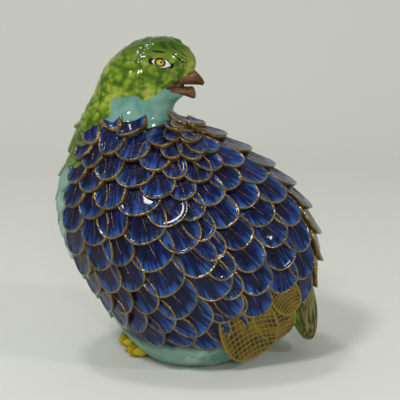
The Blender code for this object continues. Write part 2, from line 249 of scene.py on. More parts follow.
def set_down(name, bm, material):
    """Makes a finished mesh a piece of the casting, smooth, with its glaze."""
    mesh = bpy.data.meshes.new(name)
    bm.to_mesh(mesh)
    bm.free()
    mesh.shade_smooth()
    mesh.set_sharp_from_angle(angle=math.radians(50))
    mesh.materials.append(material)
    piece = bpy.data.objects.new(name, mesh)
    bpy.context.scene.collection.objects.link(piece)
    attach(piece, "root")
    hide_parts("quail_figurine")
    return piece


coated = trunk.verts.layers.float.new("under_coat")
for vert in trunk.verts:
    bare_width = BREAST_HALF_WIDTH + BREAST_FLARE * max(0.0, BREAST_FLARE_Z - vert.co.z)
    breast = vert.co.x < BREAST_X and abs(vert.co.y) < bare_width
    vert[coated] = float(vert.co.z > COAT_HEM_Z and not breast)
    skin = Vector(on_trunk(np.array(vert.co))[0])
    if vert[coated] and (skin - vert.co).length < 0.0005:
        vert.co = on_trunk(np.array(vert.co), -COAT_BED)[0]
set_down("trunk", trunk, celadon)

# Feather coat. Overlapping feathers modelled in relief and cast with the trunk: each a dished scale
# with a raised rim and a rib, painted with a brush in cobalt and navy, its rim and rib then gilded.

FEATHER_POINTS = 14
FEATHER_THICKNESS = 0.0055
FEATHER_TIP_RISE = 0.0028
FEATHER_ROOT_RISE = -0.0018
FEATHER_LAP = 1.75
FIRST_FEATHER_WIDTH = 0.66
FEATHER_WIDTH_GAIN = 0.12
BREAST_TIP_RISE = 0.0013
OUTLINE_FULLNESS = 0.82
TIP_SHARE = 0.52
RIM_PROFILE = (
    (0.0004, 0.0004, True),
    (0.0005, 0.0000, True),
    (0.0006, -0.0007, False),
    (0.0014, -0.0004, False),
)
BREAST_PROFILE = ((0.0006, 0.0002, True), (0.0008, 0.0, True), (0.0010, -0.0003, False))
LOWER_SWAY = 0.0110
SWAY_START = 0.35
RIB_RADIUS = 0.0003
RIB_DEPTH = -0.0008
RIB_LENGTH_SHARE = 0.55
RIB_POINT_SHARE = 0.4

# A file of feathers: four points that the tips' line runs through, as shares of the trunk's half
# sizes, how many feathers lie from the first point to the last, the first feather laid, the one
# after the last laid, and the width of a full-grown one.
FLANK_FILES = {
    "back": (
        ((0.23, -0.39, 0.77), (0.62, -0.46, 0.5), (0.85, -0.53, 0.1), (0.84, -0.46, -0.37)),
        8, 0, 8, 0.0235,
    ),
    "saddle": (
        ((0.09, -0.55, 0.76), (0.39, -0.67, 0.51), (0.67, -0.71, 0.18), (0.73, -0.67, -0.24)),
        8, -1, 8, 0.0215,
    ),
    "scapular": (
        ((-0.02, -0.48, 0.85), (0.17, -0.82, 0.48), (0.47, -0.87, 0.08), (0.53, -0.75, -0.4)),
        9, -1, 9, 0.0205,
    ),
    "covert": (
        ((-0.15, -0.54, 0.85), (-0.01, -0.87, 0.47), (0.25, -0.96, 0.06), (0.4, -0.82, -0.39)),
        10, -1, 10, 0.0165,
    ),
    "shoulder": (
        ((-0.27, -0.6, 0.83), (-0.14, -0.94, 0.37), (0.21, -0.97, -0.09), (0.37, -0.7, -0.6)),
        9, -1, 9, 0.0235,
    ),
    "mantle": (
        ((-0.43, -0.51, 0.88), (-0.35, -0.88, 0.42), (-0.17, -0.98, -0.05), (0.2, -0.86, -0.5)),
        9, 0, 10, 0.0265,
    ),
    "flank": (
        ((-0.57, -0.39, 0.9), (-0.58, -0.78, 0.45), (-0.43, -0.89, -0.06), (-0.05, -0.87, -0.5)),
        9, 0, 10, 0.0205,
    ),
    "side": (
        ((-0.72, -0.4, 0.81), (-0.71, -0.71, 0.37), (-0.59, -0.74, -0.12), (-0.27, -0.75, -0.54)),
        9, 0, 10, 0.0205,
    ),
    "edge": (
        ((-0.82, -0.42, 0.69), (-0.88, -0.53, 0.31), (-0.8, -0.49, -0.09), (-0.53, -0.57, -0.43)),
        8, 0, 9, 0.0205,
    ),
}
RIDGE_FILE = (
    ((0.1, 0.0, 0.94), (0.6, 0.0, 0.7), (0.97, 0.0, 0.14), (1.0, 0.0, -0.36)),
    9, 0, 9, 0.032,
)
BREAST_SIDE_FILE = (
    ((-0.8, -0.25, 0.75), (-0.96, -0.25, 0.25), (-0.93, -0.22, -0.2), (-0.68, -0.22, -0.62)),
    9, 0, 9, 0.019,
)
BREAST_FILE = (
    ((-0.8, 0.0, 0.8), (-0.98, 0.0, 0.25), (-0.95, 0.0, -0.2), (-0.7, 0.0, -0.6)),
    9, 0, 9, 0.021,
)

NECK_FOOT_X = -0.032
NECK_FOOT_Z = 0.1155
# Level rings of the neck and head: the rise above the neck's foot, where the nape and the throat
# lie, the width, and how much narrower the ring is at the throat.
NECK_RINGS = (
    (-0.030, 0.000, 0.000, 0.000, 0.00),
    (-0.028, -0.020, 0.020, 0.050, 0.00),
    (-0.012, -0.0325, 0.034, 0.060, 0.00),
    (0.000, -0.0335, 0.038, 0.058, 0.00),
    (0.0080, -0.0320, 0.0345, 0.050, 0.00),
    (0.0142, -0.0288, 0.0265, 0.043, 0.04),
    (0.0198, -0.0258, 0.0232, 0.038, 0.08),
    (0.0254, -0.0227, 0.0245, 0.035, 0.12),
    (0.0300, -0.0200, 0.0290, 0.034, 0.20),
    (0.0350, -0.0180, 0.0290, 0.034, 0.28),
    (0.0400, -0.0160, 0.0325, 0.034, 0.30),
    (0.0450, -0.0132, 0.0350, 0.033, 0.28),
    (0.0495, -0.0095, 0.0350, 0.031, 0.24),
    (0.0540, -0.0045, 0.0320, 0.027, 0.18),
    (0.0575, 0.0010, 0.0285, 0.021, 0.12),
    (0.0600, 0.0070, 0.0245, 0.013, 0.06),
    (0.0612, 0.0158, 0.0158, 0.000, 0.00),
)
MOST_NECK_SWELL = 0.0065
SWELL_STEP = 0.00025

chance = np.random.default_rng(7)


def in_neck(points):
    """Whether each point lies inside the neck, which the uppermost feathers are laid on."""
    rises, *sizes = np.array(NECK_RINGS[1:-1]).T
    rise = points[..., 2] - NECK_FOOT_Z
    nape, throat, width, taper = (np.interp(rise, rises, size) for size in sizes)
    along = (points[..., 0] - NECK_FOOT_X - 0.5 * (nape + throat)) / (0.5 * (throat - nape))
    across = points[..., 1] / (0.5 * width * (1 - taper * np.clip(along, -1, 1)))
    return (along**2 + across**2 < 1) & (rise > rises[0])


def on_body(points, rise=0.0):
    """As on_trunk, but above the skin of the trunk and neck together."""
    skin = on_trunk(points)
    ray = skin - CENTRE
    ray = ray / np.linalg.norm(ray, axis=1)[:, None]
    heights = np.arange(0.0, MOST_NECK_SWELL, SWELL_STEP)
    inside = in_neck(skin[:, None, :] + heights[None, :, None] * ray[:, None, :])
    swell = SWELL_STEP * np.cumprod(inside, axis=1).sum(axis=1)
    return skin + ray * (swell + np.reshape(rise, -1))[:, None]


def skin_normal(point):
    steps = 0.003 * np.eye(3)
    spread = on_body(point + steps) - on_body(point - steps)
    normal = np.linalg.svd(spread)[2][2]
    return normal * np.sign(normal @ (point - CENTRE))


def file_curve(points, steps=120):
    """The smooth line on the trunk through a file's four points, carried on past both ends."""
    knots = CENTRE + np.array(points) * HALF
    share = np.linspace(-0.45, 1.15, steps)
    weights = np.ones((steps, 4))
    places = (0.0, 1 / 3, 2 / 3, 1.0)
    for i, a in enumerate(places):
        for j, b in enumerate(places):
            if i != j:
                weights[:, i] *= (share - b) / (a - b)
    line = on_body(weights @ knots)
    run = np.concatenate([[0], np.cumsum(np.linalg.norm(np.diff(line, axis=0), axis=1))])
    start, end = np.interp((0.0, 1.0), share, run)

    def place(share):
        return np.array([np.interp(start + share * (end - start), run, axis) for axis in line.T])

    return place, end - start


def add_feather(coat, width, length, profile, thickness, rib=True):
    """A feather lying flat, its tip at the origin and its root along -Y; gives its points."""
    before = len(coat.verts)
    gilding = coat.verts.layers.float["gilding"]
    across = coat.loops.layers.uv["feather"]
    ring = bmesh.ops.create_circle(coat, segments=FEATHER_POINTS, radius=1.0, cap_ends=True)["verts"]
    for vert in ring:
        across_by = math.copysign(abs(vert.co.x) ** OUTLINE_FULLNESS, vert.co.x)
        along_by = math.copysign(abs(vert.co.y) ** OUTLINE_FULLNESS, vert.co.y)
        reach = TIP_SHARE if along_by > 0 else 1 - TIP_SHARE
        vert.co = (0.5 * width * across_by, length * (reach * along_by - TIP_SHARE), 0.0)
    inner = ring[0].link_faces[0]
    inner.normal_update()
    if inner.normal.z < 0:
        bmesh.ops.reverse_faces(coat, faces=[inner])
    gilded = list(ring)
    for step, lift, gold in profile:
        bmesh.ops.inset_individual(coat, faces=[inner], thickness=step, depth=lift, use_even_offset=True)
        if gold:
            gilded += inner.verts
    bmesh.ops.poke(coat, faces=[inner])
    border = [edge for edge in {edge for vert in ring for edge in vert.link_edges} if edge.is_boundary]
    wall = bmesh.ops.extrude_edge_only(coat, edges=border)["geom"]
    foot = [item for item in wall if isinstance(item, bmesh.types.BMVert)]
    bmesh.ops.translate(coat, vec=(0, 0, -thickness), verts=foot)
    bmesh.ops.contextual_create(coat, geom=foot)
    if rib:
        shaft = Matrix.Translation((0, -0.50 * length, RIB_DEPTH))
        shaft = shaft @ Matrix.Rotation(math.radians(-90), 4, "X")
        bar = bmesh.ops.create_cone(
            coat,
            cap_ends=True,
            segments=6,
            radius1=RIB_RADIUS,
            radius2=RIB_POINT_SHARE * RIB_RADIUS,
            depth=RIB_LENGTH_SHARE * length,
            matrix=shaft,
        )["verts"]
        gilded += bar
    for vert in gilded:
        vert[gilding] = 1.0
    if rib:
        bar_edges = {edge for vert in bar for edge in vert.link_edges}
        long_edges = [edge for edge in bar_edges if edge.calc_length() > 0.2 * length]
        bmesh.ops.subdivide_edges(coat, edges=long_edges, cuts=3)
    made = list(coat.verts)[before:]
    for vert in made:
        for loop in vert.link_loops:
            loop[across].uv = (2 * vert.co.x / width, -vert.co.y / length)
    return made


def lay_feather(verts, tip, root, length, tip_rise, root_rise):
    """Wraps flat points on the trunk, with the feather's tip and root on the line from `tip` to `root`."""
    middle = on_body(0.5 * (tip + root))[0]
    normal = skin_normal(middle)
    down = (tip - root) - normal * ((tip - root) @ normal)
    down = down / np.linalg.norm(down)
    side = np.cross(down, normal)

    def wrap(flat):
        share = -flat[:, 1] / length
        spot = middle + np.outer(flat[:, 0], side) + np.outer(length * (0.5 - share), down)
        return on_body(spot, flat[:, 2] + tip_rise + (root_rise - tip_rise) * share)

    reshape(verts, wrap)


def open_coat():
    coat = bmesh.new()
    coat.verts.layers.float.new("gilding")
    coat.verts.layers.float.new("tone")
    coat.loops.layers.uv.new("feather")
    return coat


def lay_file(coat, layout, tip_rise, profile, rib=True, sway=0.0):
    """Lays one file of feathers. Its lower ones are turned to point aft, their roots `sway` forward."""
    points, count, first, last, width = layout
    place, run = file_curve(points)
    tone = coat.verts.layers.float["tone"]
    pitch = 1 / (count - 1)
    length = FEATHER_LAP * pitch * run
    for k in range(first, last):
        grown = min(1.0, FIRST_FEATHER_WIDTH + FEATHER_WIDTH_GAIN * k)
        feather = add_feather(coat, width * grown, length, profile, FEATHER_THICKNESS, rib)
        swayed = sway * max(0.0, k * pitch - SWAY_START) / (1 - SWAY_START)
        root = place((k - FEATHER_LAP) * pitch) - np.array((swayed, 0, 0))
        lay_feather(feather, place(k * pitch), root, length, tip_rise, FEATHER_ROOT_RISE)
        shade = chance.random()
        for vert in feather:
            vert[tone] = shade


def mirrored(coat):
    twin = coat.copy()
    bmesh.ops.scale(twin, vec=(1, -1, 1), verts=twin.verts)
    bmesh.ops.recalc_face_normals(twin, faces=twin.faces)
    return twin


def smoothed(piece, levels):
    rounding = piece.modifiers.new("rounding", "SUBSURF")
    rounding.levels = levels
    rounding.render_levels = levels
    return piece


GOLD = tint("947b42")


def feather_coordinates(start):
    """Across a feather from -1 to 1, along it from its tip, how near its rim, and its own tone."""
    uv = start.node("UVMap", {"uv_map": "feather"})
    u, v, _ = uv.parts()
    rim = ((u * u) ** 1.2 + (((v - TIP_SHARE) / TIP_SHARE) ** 2) ** 1.2) ** 0.417
    tone = start.node("Attribute", {"attribute_name": "tone"}, output=2)
    gilding = start.node("Attribute", {"attribute_name": "gilding"}, output=2)
    return u, v, rim, tone, gilding


cobalt, start, place, blots = open_glaze("cobalt_glaze")
u, v, rim, tone, gilding = feather_coordinates(start)
fan = u / (1.55 - v) + v * v * 0.6
stroke_place = place.joined(fan * 9.5, v * 1.5, tone * 60.0)
strokes = place.node("TexNoise", {}, {"Vector": stroke_place, "Scale": 1.0, "Detail": 2.0, "Roughness": 0.55})
wash_place = place.joined(v * 3.0, u * 2.2, tone * 31.0)
wash = place.node("TexNoise", {}, {"Vector": wash_place, "Scale": 1.0, "Detail": 1.0})
blue = (wash + tone * 0.25 - 0.1).step(0.3, 0.75).mix(tint("060b4c"), tint("123288"))
x, y, z = place.parts()
# Painted light: the front and lower feathers tinted greyish violet, as the light makes them look.
blue = ((x * -14.0 - z * 3.0 + wash * 0.8).step(0.35, 0.95) * 0.6).mix(blue, tint("1d1650"))
blue = ((rim * 0.9 + wash * 0.5) * 0.8).step(0.52, 0.95).mix(blue, tint("2f5f9f"))
dark = (strokes * 1.6 - rim * 0.28).step(0.46, 0.68)
blue = (dark * 0.85).mix(blue, tint("010316"))
ripple = place.node("TexNoise", {}, {"Vector": place, "Scale": 240.0, "Detail": 1.0})
gold = (gilding + blots * 0.5).step(0.72, 0.86)
colour = gold.mix(blue, blots.step(0.35, 0.65).mix(GOLD, tint("5e4a26")))
fire(start, colour, 0.30 - gold * 0.04, strokes * -0.4 + blots * 0.8 + ripple * 0.60, 0.0015, gold * 0.75)

near = open_coat()
for layout in FLANK_FILES.values():
    lay_file(near, layout, FEATHER_TIP_RISE, RIM_PROFILE, sway=LOWER_SWAY)
bmesh.ops.recalc_face_normals(near, faces=near.faces)
smoothed(set_down("flank_feathers_right", mirrored(near), cobalt), 1)
smoothed(set_down("flank_feathers_left", near, cobalt), 1)

ridge = open_coat()
lay_file(ridge, RIDGE_FILE, FEATHER_TIP_RISE, RIM_PROFILE)
bmesh.ops.recalc_face_normals(ridge, faces=ridge.faces)
smoothed(set_down("back_feathers", ridge, cobalt), 1)

# Breast feathers. The same relief pressed shallower down the front, left in the pale celadon of the
# body, with only a thin wash of olive in the hollows.

breast_glaze, start, place, blots = open_glaze("breast_glaze")
u, v, rim, tone, gilding = feather_coordinates(start)
olive_line = (gilding - blots * 0.4).step(0.35, 0.75) * 0.45
breast_colour = olive_line.mix(celadon_colour(place, blots), tint("6c7f5e"))
fire(start, breast_colour, 0.32, blots, 0.0005)

breast = open_coat()
lay_file(breast, BREAST_SIDE_FILE, BREAST_TIP_RISE, BREAST_PROFILE, rib=False)
twin = mirrored(breast)
set_down("breast_feathers_right", twin, breast_glaze)
lay_file(breast, BREAST_FILE, BREAST_TIP_RISE, BREAST_PROFILE, rib=False)
bmesh.ops.recalc_face_normals(breast, faces=breast.faces)
set_down("breast_feathers_left", breast, breast_glaze)

# Wing tips. Three long feathers on each side that come out from under the coat and rest by the foot:
# part of the casting, in ochre glaze with a lattice drawn on it in gold.

# Each wing tip: its tip and its root as shares of the trunk's half sizes, its length, its width and
# how far its tip stands off the trunk.
WING_TIPS = (
    ((0.84, -0.66, -0.42), (0.72, -0.84, -0.14), 0.027, 0.019, 0.0050),
    ((0.76, -0.52, -0.66), (0.60, -0.93, -0.22), 0.041, 0.025, 0.0068),
    ((0.54, -0.58, -0.80), (0.42, -1.00, -0.30), 0.043, 0.033, 0.0080),
)
WING_ROOT_RISE = -0.0020
WING_TIP_THICKNESS = 0.0130
WING_PROFILE = ((0.0005, 0.0003, True), (0.0005, 0.0, True), (0.0008, -0.0004, False), (0.0014, 0.0, False))

ochre, start, place, blots = open_glaze("ochre_glaze")
u, v, rim, tone, gilding = feather_coordinates(start)
lines = v * 13.0 + u * u * 2.0 + blots * 0.5
lines = abs(lines.maths("FRACT", lines) - 0.5)
courses = u * 7.0 + blots * 0.4
courses = abs(courses.maths("FRACT", courses) - 0.5)
grid = (lines.step(0.36, 0.44) + courses.step(0.38, 0.46)).smaller(1.0)
brick = blots.step(0.35, 0.65).mix(tint("2e2402"), tint("7a600a"))
gold = (grid + gilding.step(0.5, 0.8)).smaller(1.0)
fire(start, gold.mix(brick, tint("94802c")), 0.34, grid, 0.0004, gold * 0.4)

wing = open_coat()
for tip, root, length, width, rise in WING_TIPS:
    tip, root = on_trunk(CENTRE + np.array((tip, root)) * HALF)
    feather = add_feather(wing, width, length, WING_PROFILE, WING_TIP_THICKNESS, rib=False)
    lay_feather(feather, tip, root, length, rise, WING_ROOT_RISE)
bmesh.ops.recalc_face_normals(wing, faces=wing.faces)
smoothed(set_down("wing_tips_right", mirrored(wing), ochre), 2)
smoothed(set_down("wing_tips_left", wing, ochre), 2)

# Neck and head. The upper end of the casting, lofted through level rings: soft scalloped feathers in
# leaf green over the crown, cheek and nape, and a smooth celadon throat.

GREEN_EDGE = (
    (-0.0099, 0.1524), (-0.0157, 0.1485), (-0.0199, 0.1455), (-0.0231, 0.1440), (-0.0262, 0.1452),
    (-0.0288, 0.1474), (-0.0341, 0.1463), (-0.0395, 0.1457), (-0.0417, 0.1435), (-0.0416, 0.1378),
    (-0.0446, 0.1345), (-0.0466, 0.1310), (-0.0496, 0.1240), (-0.0545, 0.1160), (-0.0616, 0.1100),
)
THROAT_CORNERS = ((-0.0700, 0.0900), (0.0300, 0.0900), (0.0300, 0.1500))
HEAD_SCALES = 300.0
HEAD_SCALE_HEIGHT = 0.0005
COLLAR_Z = 0.134
COLLAR_DEPTH = 0.006
COLLAR_BED = 0.8 * COAT_BED
EYE_CENTRE = (-0.0150, 0.1638)
EYE_SURROUND = 0.007
EYE_SURROUND_EDGE = 0.004
CROWN_X = -0.0085
CROWN_Z = 0.1690
CROWN_HALF_LENGTH = 0.0095
CROWN_HALF_HEIGHT = 0.0040
BROW_X = -0.0164
BROW_Z = 0.1679
BROW_SLOPE = 0.12
BILL_ROOT_X = -0.0126
BILL_TOP_Z = 0.1506
BILL_TOP_SLOPE = 0.545
BILL_UNDER_Z = 0.1496
BILL_UNDER_SLOPE = 0.432
MOUTH_Z = 0.1502


def between(stations, share):
    """Stations at shares of the way through a list of them, on a smooth curve through them all."""
    stations = np.array(stations)
    place = np.clip(share, 0, 1) * (len(stations) - 1)
    first = np.minimum(place.astype(int), len(stations) - 2)
    t = (place - first)[:, None]
    ends = np.vstack([2 * stations[0] - stations[1], stations, 2 * stations[-1] - stations[-2]])
    a, b, c, d = (ends[first + k] for k in range(4))
    return b + 0.5 * t * (c - a + t * (2 * a - 5 * b + 4 * c - d + t * (3 * b - a - 3 * c + d)))


def lofted(stations, ring_place, segments, rings):
    """A closed skin through stations: a ball whose level rings are each carried to one of them."""
    bm = bmesh.new()
    bmesh.ops.create_uvsphere(bm, u_segments=segments, v_segments=rings, radius=1.0)

    def carry(unit):
        share = np.arccos(np.clip(-unit[:, 2], -1, 1)) / math.pi
        return ring_place(between(stations, share).T, np.arctan2(unit[:, 1], unit[:, 0]))

    reshape(bm.verts, carry)
    bmesh.ops.recalc_face_normals(bm, faces=bm.faces)
    return bm


def neck_place(station, turn):
    rise, nape, throat, width, taper = station
    x = NECK_FOOT_X + 0.5 * (nape + throat) + 0.5 * (throat - nape) * np.cos(turn)
    y = 0.5 * np.maximum(width, 0) * np.sin(turn) * (1 - taper * np.cos(turn))
    return np.stack([x, y, NECK_FOOT_Z + rise], axis=1)


def throat_depth(x, z):
    """How far a point of the side view lies inside the celadon throat, below the green's edge."""
    corners = np.array(GREEN_EDGE + THROAT_CORNERS)
    spot = np.array((x, z))
    inside, nearest = False, 1.0
    for k, (a, b) in enumerate(zip(corners, np.roll(corners, -1, axis=0))):
        if (a[1] > z) != (b[1] > z) and x < a[0] + (z - a[1]) / (b[1] - a[1]) * (b[0] - a[0]):
            inside = not inside
        if k < len(GREEN_EDGE) - 1:
            t = np.clip((spot - a) @ (b - a) / ((b - a) @ (b - a)), 0, 1)
            nearest = min(nearest, np.linalg.norm(spot - a - t * (b - a)))
    return nearest if inside else -nearest


head = lofted(NECK_RINGS, neck_place, 128, 120)
head.normal_update()
head.verts.layers.float.new("throat")
head.verts.layers.float.new("scale_top")
throat = head.verts.layers.float["throat"]
scale_top = head.verts.layers.float["scale_top"]
lifts = {}
for vert in head.verts:
    depth = throat_depth(vert.co.x, vert.co.z)
    vert[throat] = 1000 * depth
    cell = noise.voronoi(vert.co * HEAD_SCALES)[0]
    crest = max(0.0, 1.0 - cell[0])
    vert[scale_top] = crest
    from_eye = math.hypot(vert.co.x - EYE_CENTRE[0], vert.co.z - EYE_CENTRE[1])
    quiet = min(1.0, max(0.0, (from_eye - EYE_SURROUND) / EYE_SURROUND_EDGE))
    green = min(1.0, max(0.0, 0.5 - depth / 0.0015))
    lifts[vert] = green * (0.0003 + HEAD_SCALE_HEIGHT * quiet * (2.0 * crest - 1.2))
for vert, lift in lifts.items():
    bedded = min(1.0, max(0.0, (COLLAR_Z - vert.co.z) / COLLAR_DEPTH))
    vert.co += vert.normal * (lift - COLLAR_BED * bedded)


def on_slope(x, z):
    """How far along and how far above the slope of the crown, which falls towards the beak."""
    return x * 0.79 - z * 0.61, x * 0.61 + z * 0.79


leaf, start, place, blots = open_glaze("leaf_glaze")
x, y, z = place.parts()
scale_top = start.node("Attribute", {"attribute_name": "scale_top"}, output=2)
throat = start.node("Attribute", {"attribute_name": "throat"}, output=2)
mottle = place.node("TexNoise", {}, {"Vector": place, "Scale": 130.0, "Detail": 3.0, "Roughness": 0.65})
green = (mottle * 0.8 + scale_top * 0.5).step(0.50, 0.92).mix(tint("3d5c08"), tint("86a024"))
# Painted highlights: pale yellow-green specks over the green, standing in for glints on the glaze.
green = (mottle * 0.4 + blots * 0.7).step(0.50, 0.72).mix(green, tint("a3ae44"))
green = (z + blots * 0.010).step(0.166, 0.180).mix(green, tint("3a580c"))
along, up = on_slope(x, z)
hair_place = place.joined(along * 70.0, up * 1100.0, 0.0)
hairs = place.node("TexNoise", {}, {"Vector": hair_place, "Scale": 1.0, "Detail": 1.0})
along, up = on_slope(x - CROWN_X, z - CROWN_Z)
crown = (along / CROWN_HALF_LENGTH) ** 2 + (up / CROWN_HALF_HEIGHT) ** 2
green = (hairs.step(0.54, 0.60) * (1.0 - crown.step(0.6, 1.1))).mix(green, tint("1d2b0a"))
brow = ((x - BROW_X) / 0.0040) ** 2 + ((z + x * BROW_SLOPE - BROW_Z) / 0.0006) ** 2
green = (1.0 - brow.step(0.5, 1.3)).mix(green, tint("1d2b0a"))
pale = blots.step(0.35, 0.7).mix(tint("55887e"), tint("7ba595"))
head_colour = (throat + blots * 1.6 - 0.8).step(-0.45, 0.45).mix(green, pale)
bill_x = x - BILL_ROOT_X
bill = bill_x.step(0.0, 0.0010)
bill = bill * (bill_x * BILL_TOP_SLOPE - z + BILL_TOP_Z).step(-0.0003, 0.0004)
bill = bill * (bill_x * BILL_UNDER_SLOPE + z - BILL_UNDER_Z).step(-0.0003, 0.0004)
head_colour = bill.mix(head_colour, blots.step(0.38, 0.62).mix(tint("4a3018"), tint("7c5836")))
mouth = (1.0 - abs(z - MOUTH_Z).step(0.0002, 0.0005)) * bill_x.step(-0.0004, 0.0004)
head_colour = mouth.mix(head_colour, tint("1c1208"))
fire(start, head_colour, 0.30, mottle + blots, 0.0004)
set_down("neck_and_head", head, leaf)

# Eyes. Modelled almond-shaped in slight relief and painted in enamel under the glaze: a black
# outline, a white, a ringed yellow iris and a small pupil.

EYE_LENGTH = 0.0118
EYE_TOP = 0.0030
EYE_BOTTOM = 0.0026
EYE_SEAT = 0.0003
EYE_THICKNESS = 0.0015
EYE_PROFILE = ((0.0003, 0.0003), (0.0006, 0.0001), (0.0008, 0.00015))
EYE_TILT = math.radians(-15)


def head_half_width(x, z):
    """Half the head's width at a point of its side view, read from the neck's rings."""
    rises, napes, throats, widths, tapers = np.array(NECK_RINGS[1:]).T
    rise = z - NECK_FOOT_Z
    sizes = (napes, throats, widths, tapers)
    nape, throat, width, taper = (np.interp(rise, rises, size) for size in sizes)
    forward = np.clip((x - NECK_FOOT_X - 0.5 * (nape + throat)) / (0.5 * (throat - nape)), -1, 1)
    return 0.5 * width * np.sqrt(1 - forward**2) * (1 - taper * forward)


def arc_radius(sagitta):
    return ((0.5 * EYE_LENGTH) ** 2 + sagitta**2) / (2 * sagitta)


eye = bmesh.new()
lid = bmesh.ops.create_circle(eye, segments=40, radius=1.0, cap_ends=True)["verts"]
for vert in lid:
    a = 0.5 * EYE_LENGTH * vert.co.x
    sagitta = EYE_TOP if vert.co.y > 0 else EYE_BOTTOM
    radius = arc_radius(sagitta)
    vert.co = (a, math.copysign(math.sqrt(radius**2 - a**2) - (radius - sagitta), vert.co.y), 0.0)
white = lid[0].link_faces[0]
white.normal_update()
if white.normal.z < 0:
    bmesh.ops.reverse_faces(eye, faces=[white])
for step, lift in EYE_PROFILE:
    bmesh.ops.inset_individual(eye, faces=[white], thickness=step, depth=lift, use_even_offset=False)
bmesh.ops.poke(eye, faces=[white])
hem = bmesh.ops.extrude_edge_only(eye, edges=[edge for edge in eye.edges if edge.is_boundary])["geom"]
hem = [item for item in hem if isinstance(item, bmesh.types.BMVert)]
bmesh.ops.translate(eye, vec=(0, 0, -EYE_THICKNESS), verts=hem)
bmesh.ops.contextual_create(eye, geom=hem)
eye_map = eye.loops.layers.uv.new("eye")
for face in eye.faces:
    for loop in face.loops:
        loop[eye_map].uv = (1000 * loop.vert.co.x, 1000 * loop.vert.co.y)


def on_face(flat):
    x = EYE_CENTRE[0] + flat[:, 0] * math.cos(EYE_TILT) - flat[:, 1] * math.sin(EYE_TILT)
    z = EYE_CENTRE[1] + flat[:, 0] * math.sin(EYE_TILT) + flat[:, 1] * math.cos(EYE_TILT)
    return np.stack([x, -head_half_width(x, z) - flat[:, 2] - EYE_SEAT, z], axis=1)


reshape(eye.verts, on_face)
bmesh.ops.recalc_face_normals(eye, faces=eye.faces)

enamel, start, place, blots = open_glaze("eye_enamel")
u, v, _ = start.node("UVMap", {"uv_map": "eye"}).parts()


def inside_arc(sagitta, way):
    radius = 1000 * arc_radius(sagitta)
    return radius - (u * u + (v + way * (radius - 1000 * sagitta)) ** 2) ** 0.5


lid_gap = inside_arc(EYE_TOP, 1.0).smaller(inside_arc(EYE_BOTTOM, -1.0))
iris = (((u + 0.7) / 2.45) ** 2 + ((v - 0.35) / 1.75) ** 2) ** 0.5
pupil = (((u + 0.2) / 0.75) ** 2 + ((v - 0.55) / 0.55) ** 2) ** 0.5
colour = (1.0 - iris.step(1.22, 1.34)).mix(tint("d9dde0"), tint("0d0b08"))
colour = (1.0 - iris.step(0.86, 0.96)).mix(colour, iris.step(0.3, 0.9).mix(tint("d8c838"), tint("8a7a14")))
colour = (1.0 - pupil.step(0.8, 1.1)).mix(colour, tint("241c08"))
colour = (1.0 - lid_gap.step(0.42, 0.62)).mix(colour, tint("0d0b08"))
fire(start, colour, 0.25, blots, 0.0001)
set_down("eye_right", mirrored(eye), enamel)
set_down("eye_left", eye, enamel)

# Beak. Two short pointed halves, a little apart, pinched out of the face and painted brown.

# Upright rings from the face to the point: how far out, the lower and upper edge, and the width.
UPPER_BEAK = (
    (-0.0145, 0.1518, 0.1518, 0.0000),
    (-0.0140, 0.1506, 0.1530, 0.0215),
    (-0.0060, 0.1508, 0.1572, 0.0165),
    (-0.0010, 0.1508, 0.1598, 0.0125),
    (0.0022, 0.1507, 0.1590, 0.0098),
    (0.0050, 0.1506, 0.1565, 0.0066),
    (0.0071, 0.1504, 0.1538, 0.0034),
    (0.0080, 0.1518, 0.1518, 0.0000),
)
LOWER_BEAK = (
    (-0.0125, 0.1480, 0.1480, 0.0000),
    (-0.0120, 0.1465, 0.1499, 0.0205),
    (-0.0050, 0.1454, 0.1499, 0.0145),
    (-0.0005, 0.1440, 0.1498, 0.0100),
    (0.0015, 0.1432, 0.1498, 0.0085),
    (0.0028, 0.1434, 0.1482, 0.0040),
    (0.0034, 0.1445, 0.1445, 0.0000),
)


def beak_place(station, turn):
    x, low, high, width = station
    z = 0.5 * (low + high) + 0.5 * np.maximum(high - low, 0) * np.cos(turn)
    return np.stack([x, 0.5 * np.maximum(width, 0) * np.sin(turn), z], axis=1)


horn, start, place, blots = open_glaze("beak_brown")
speck = place.node("TexNoise", {}, {"Vector": place, "Scale": 900.0, "Detail": 3.0, "Roughness": 0.7})
brown = (blots * 0.5 + speck * 0.5).step(0.38, 0.62).mix(tint("4a3018"), tint("8a6440"))
fire(start, brown, 0.42, speck, 0.0003)
set_down("upper_beak", lofted(UPPER_BEAK, beak_place, 32, 40), horn)
set_down("lower_beak", lofted(LOWER_BEAK, beak_place, 32, 36), horn)

# Tail. A short fan of stiff feathers pressed together behind the wing tips, ridged from end to end:
# olive glaze with darker strokes, leaf green on the side that faces the foot.

# Level rings from the tip up: the middle's place, the height, the thickness and the width.
TAIL_RINGS = (
    (0.0658, 0.0090, 0.0000, 0.000),
    (0.0658, 0.0095, 0.0070, 0.018),
    (0.0645, 0.0160, 0.0132, 0.029),
    (0.0622, 0.0240, 0.0180, 0.035),
    (0.0595, 0.0320, 0.0210, 0.039),
    (0.0550, 0.0420, 0.0240, 0.042),
    (0.0470, 0.0560, 0.0260, 0.042),
    (0.0460, 0.0570, 0.0000, 0.000),
)
TAIL_QUILLS = 16
TAIL_RIDGE = 0.0011


def tail_place(station, turn):
    x, z, thickness, width = station
    ridge = TAIL_RIDGE * np.abs(np.sin(0.5 * TAIL_QUILLS * turn)) * np.clip(width / 0.02, 0, 1)
    half_length = np.maximum(0.5 * thickness - ridge, 0)
    half_width = np.maximum(0.5 * width - ridge, 0)
    return np.stack([x + half_length * np.cos(turn), half_width * np.sin(turn), z], axis=1)


